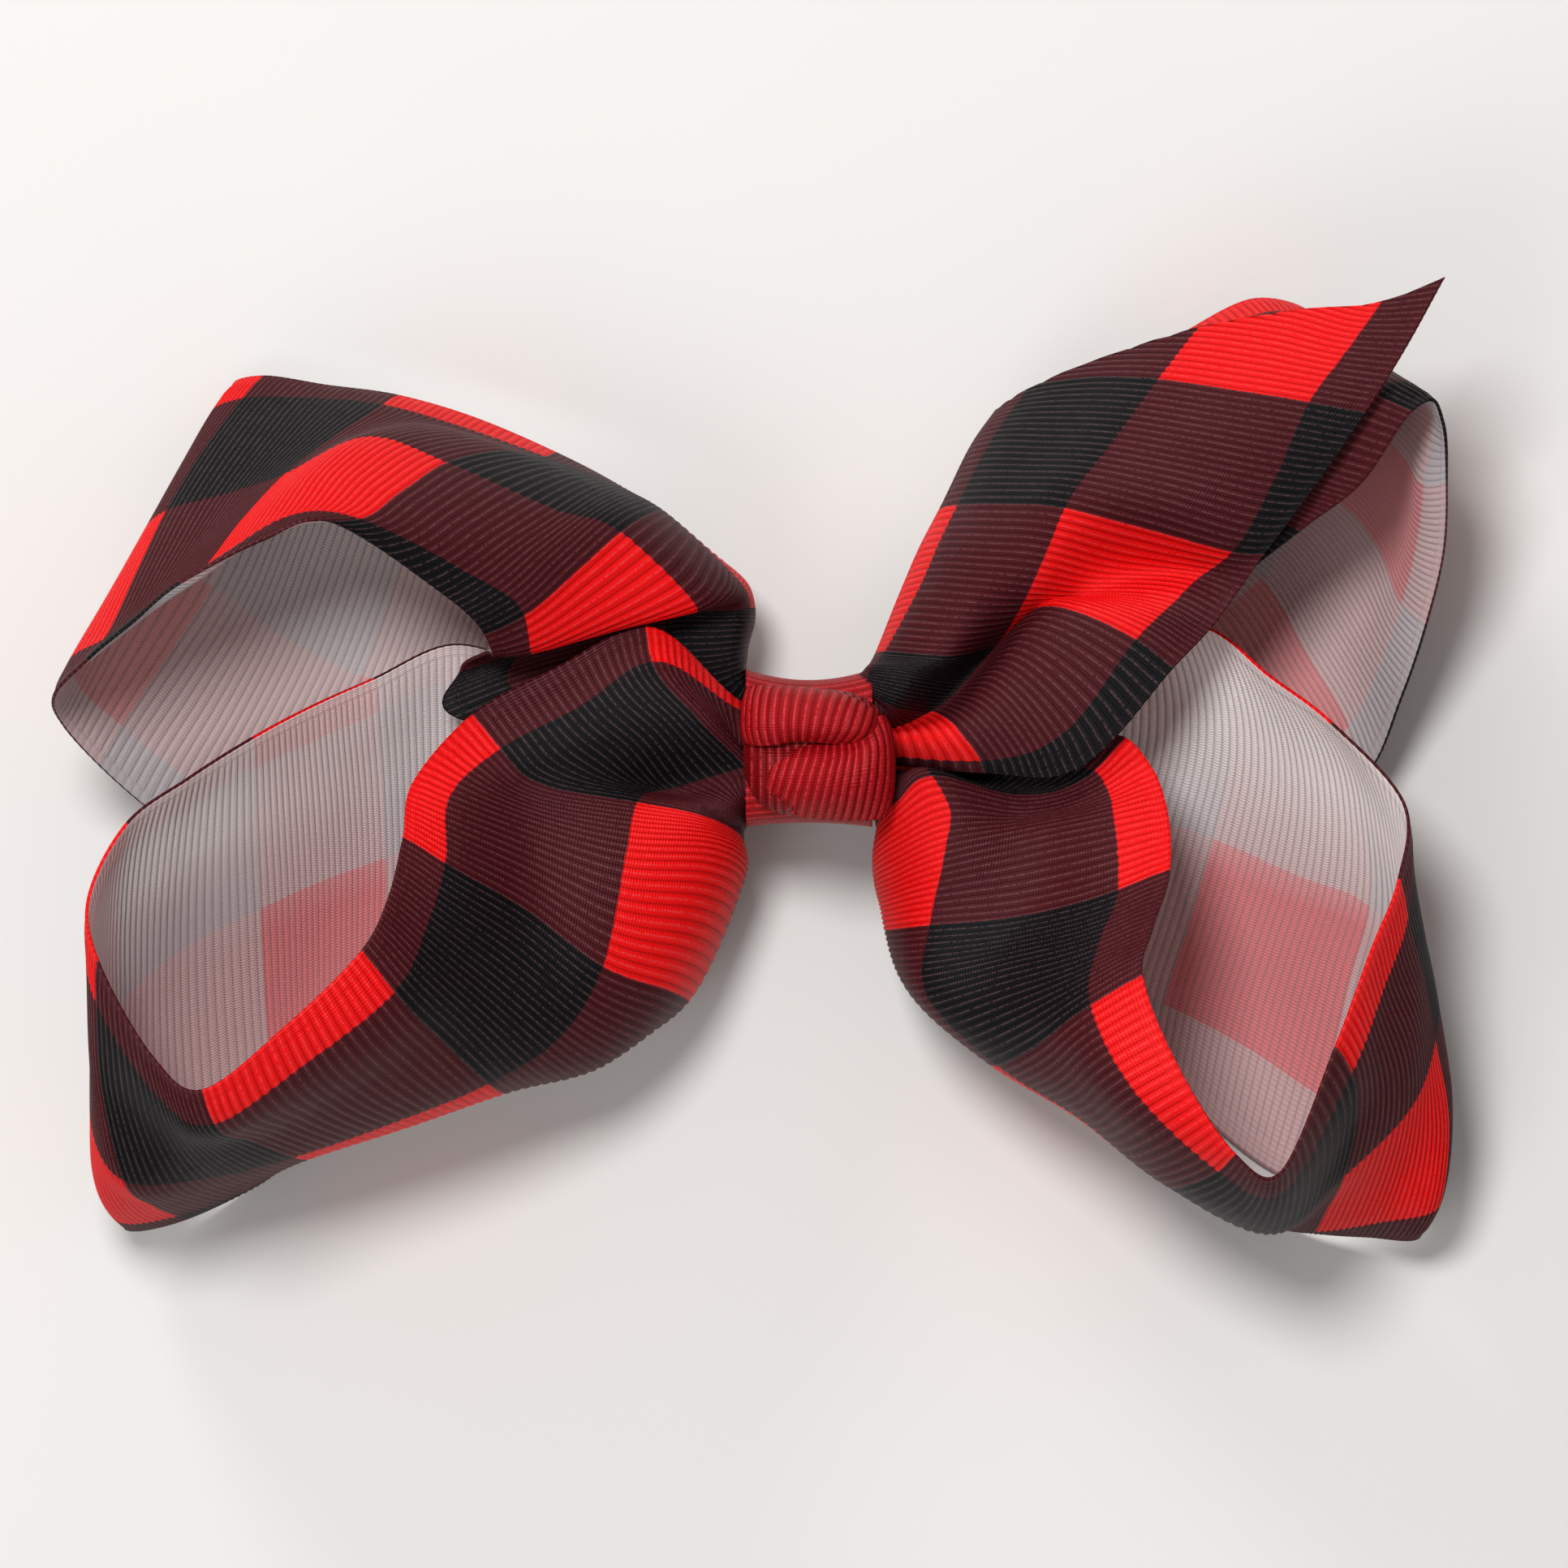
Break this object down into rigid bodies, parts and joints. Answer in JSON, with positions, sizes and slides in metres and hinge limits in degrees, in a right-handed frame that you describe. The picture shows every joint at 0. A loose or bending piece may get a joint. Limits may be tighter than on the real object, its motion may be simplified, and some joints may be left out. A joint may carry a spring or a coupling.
{
  "type": "hair bow",
  "caption": "Tied grosgrain ribbon hair bow with looped wings, a loose slanted tail, a knotted centre and a spring clip behind",
  "frame": {"origin": "middle of the clip's flat back, on the plane that the bow lies on", "axes": "+X to the right and +Y up as the front of the bow is seen, +Z out of the front"},
  "size_m": [0.1645, 0.1128, 0.0535],
  "materials": {
    "plaid_ribbon": "ribbed ribbon printed with a red and black buffalo check on one face, white behind",
    "knot_ribbon": "plain deep red ribbed ribbon",
    "clip_metal": "nickel-plated sheet steel"
  },
  "bodies": {
    "root": {"loop_lower_left": "plaid_ribbon", "loop_upper_left": "plaid_ribbon", "loop_lower_right": "plaid_ribbon", "loop_upper_right": "plaid_ribbon", "tail": "plaid_ribbon", "centre_band": "knot_ribbon", "centre_knot": "knot_ribbon", "hair_clip": "clip_metal"}
  },
  "joints": []
}
